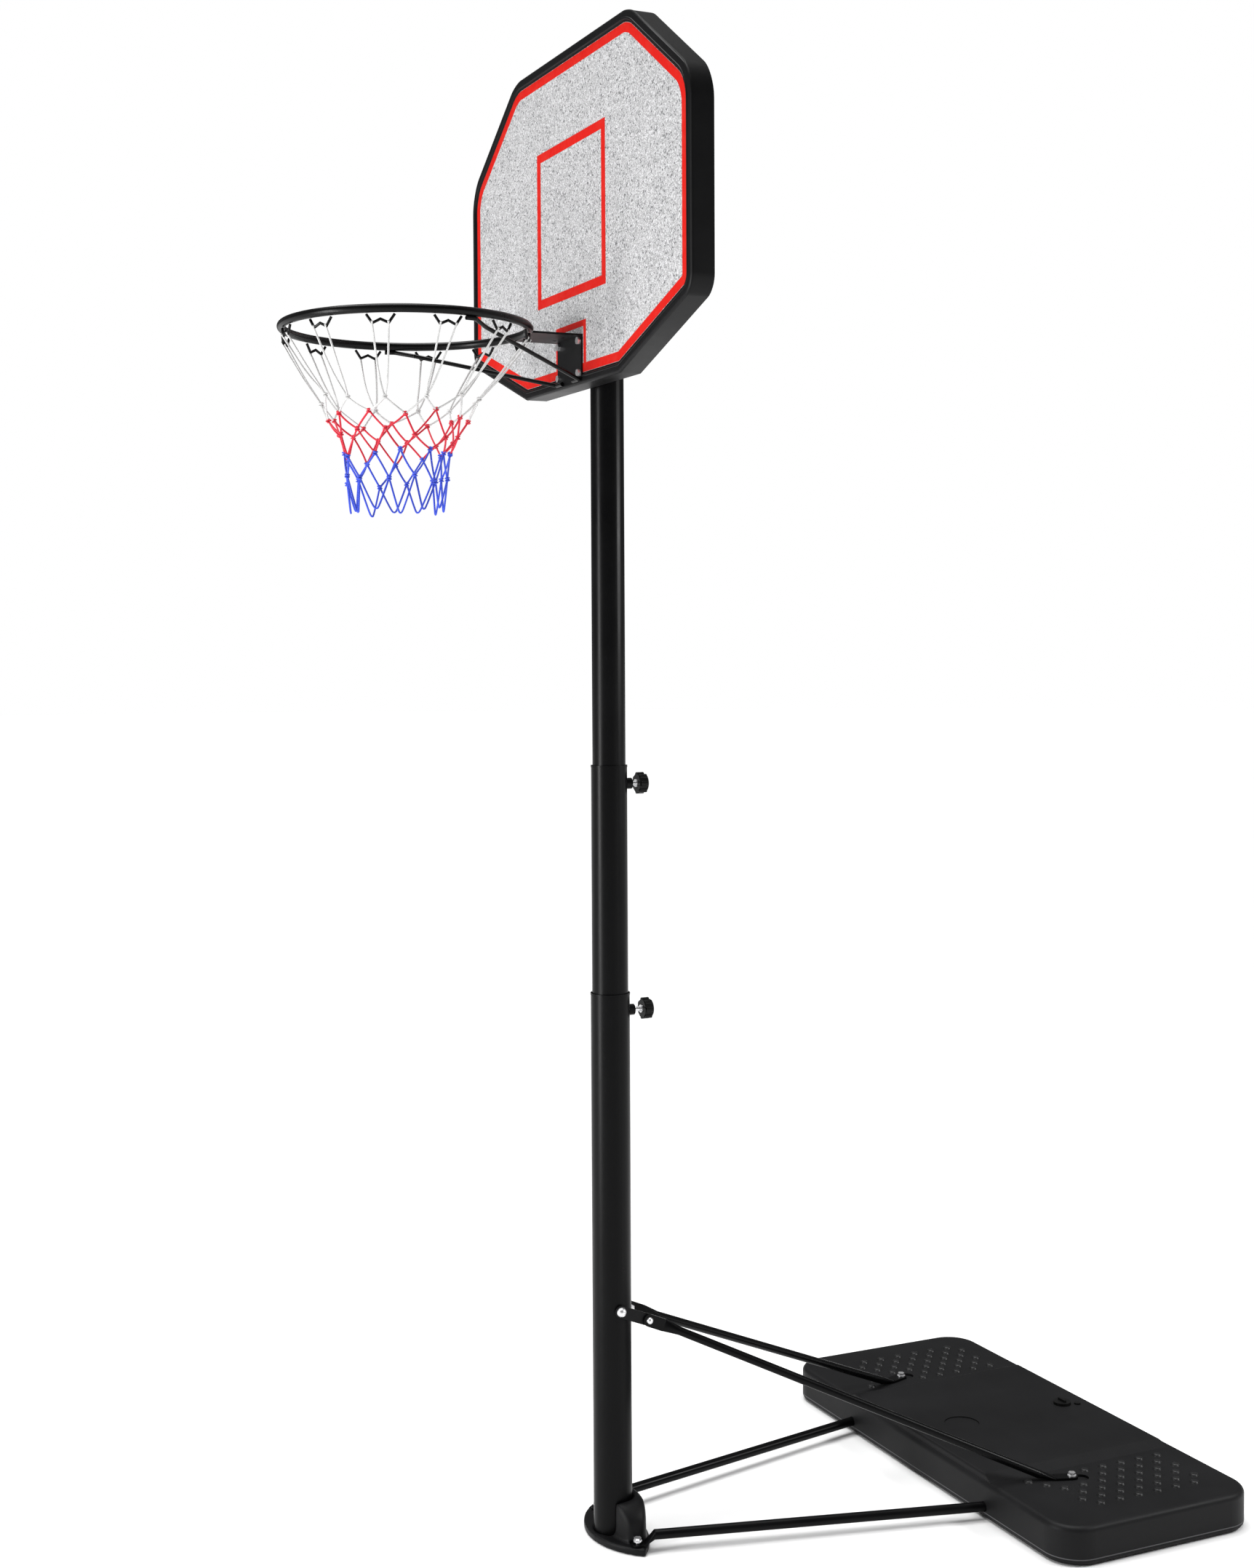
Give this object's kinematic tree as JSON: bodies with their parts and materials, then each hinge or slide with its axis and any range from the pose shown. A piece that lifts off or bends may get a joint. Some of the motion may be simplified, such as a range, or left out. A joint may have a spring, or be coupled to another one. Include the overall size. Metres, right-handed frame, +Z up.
{
  "type": "portable basketball hoop",
  "caption": "Height-adjustable portable basketball hoop: telescoping steel pole with clamp knobs, board with rim and net, and a fillable base tank.",
  "frame": {"origin": "on the floor, below the middle of the whole object's box", "axes": "+Z up the pole, the board faces -Y, the tank lies at +Y, +X is to the right of someone facing the front of the board"},
  "size_m": [1.064, 1.853, 2.956],
  "materials": {
    "pole_paint": "semi-gloss black powder coat",
    "bracket_paint": "dark grey satin paint",
    "rim_paint": "black satin paint",
    "zinc_fasteners": "bright zinc plate",
    "brass_inserts": "turned",
    "tank_plastic": "fine grained black polyethylene",
    "foot_plastic": "moulded black plastic",
    "frame_plastic": "moulded black plastic",
    "panel_plastic": "light grey granite speckle with printed red lines",
    "knob_plastic": "moulded black",
    "cap_plastic": "moulded black",
    "net_cord": "braided white, red and blue nylon cord"
  },
  "bodies": {
    "base_frame": {"base_tank": "tank_plastic", "pole_foot": "foot_plastic", "lower_tube": "pole_paint", "lower_clamp_nut": "pole_paint", "lower_strut_left": "pole_paint", "lower_strut_right": "pole_paint", "upper_strut_left": "pole_paint", "upper_strut_right": "pole_paint", "strut_link_left": "pole_paint", "strut_link_right": "pole_paint", "cross_bolt": "zinc_fasteners", "cross_bolt_nut": "zinc_fasteners", "link_bolts": "zinc_fasteners", "link_nuts": "zinc_fasteners", "deck_bolts": "zinc_fasteners", "deck_inserts": "brass_inserts", "foot_bolts": "zinc_fasteners", "foot_nuts": "zinc_fasteners"},
    "mid_section": {"mid_tube": "pole_paint", "upper_clamp_nut": "pole_paint"},
    "top_section": {"top_tube": "pole_paint", "pole_cap": "foot_plastic", "board_frame": "frame_plastic", "board_panel": "panel_plastic", "upper_board_rail": "bracket_paint", "lower_board_rail": "bracket_paint", "upper_pole_bracket": "bracket_paint", "lower_pole_bracket": "bracket_paint", "bracket_bolts": "zinc_fasteners", "bracket_nuts": "zinc_fasteners", "rail_bolts": "zinc_fasteners", "rail_nuts": "zinc_fasteners", "rim_bolts": "zinc_fasteners", "rim_nuts": "zinc_fasteners", "rim_plate": "bracket_paint", "rim_ring": "rim_paint", "rim_hooks": "rim_paint", "rim_brace_left": "rim_paint", "rim_brace_right": "rim_paint", "net": "net_cord"},
    "lower_screw": {"lower_clamp_screw": "zinc_fasteners"},
    "lower_knob": {"lower_clamp_knob": "knob_plastic"},
    "upper_screw": {"upper_clamp_screw": "zinc_fasteners"},
    "upper_knob": {"upper_clamp_knob": "knob_plastic"},
    "fill_cap": {"fill_cap": "cap_plastic"},
    "vent_plug": {"vent_plug": "cap_plastic"}
  },
  "joints": [
    {"name": "mid_slide", "type": "slide", "parent": "base_frame", "child": "mid_section", "axis": [0, 0, 1], "range_m": [-0.08, 0.4]},
    {"name": "top_slide", "type": "slide", "parent": "mid_section", "child": "top_section", "axis": [0, 0, 1], "range_m": [-0.32, 0.25]},
    {"name": "lower_screw_travel", "type": "slide", "parent": "base_frame", "child": "lower_screw", "axis": [0, 1, 0], "range_m": [0, 0.00525]},
    {"name": "lower_knob_turn", "type": "hinge", "parent": "lower_screw", "child": "lower_knob", "pos_m": [0, -0.268, 1.062], "axis": [0, 1, 0], "range_deg": [0, 1080]},
    {"name": "upper_screw_travel", "type": "slide", "parent": "mid_section", "child": "upper_screw", "axis": [0, 1, 0], "range_m": [0, 0.00525]},
    {"name": "upper_knob_turn", "type": "hinge", "parent": "upper_screw", "child": "upper_knob", "pos_m": [0, -0.268, 1.517], "axis": [0, 1, 0], "range_deg": [0, 1080]},
    {"name": "fill_cap_lift", "type": "slide", "parent": "base_frame", "child": "fill_cap", "axis": [0, 0, 1], "range_m": [0, 0.03]},
    {"name": "vent_plug_lift", "type": "slide", "parent": "base_frame", "child": "vent_plug", "axis": [0, 0, 1], "range_m": [0, 0.03]}
  ],
  "couplings": [
    {"joint": "lower_screw_travel", "follows": "lower_knob_turn", "m_per_rad": 0.00027852},
    {"joint": "upper_screw_travel", "follows": "upper_knob_turn", "m_per_rad": 0.00027852}
  ]
}
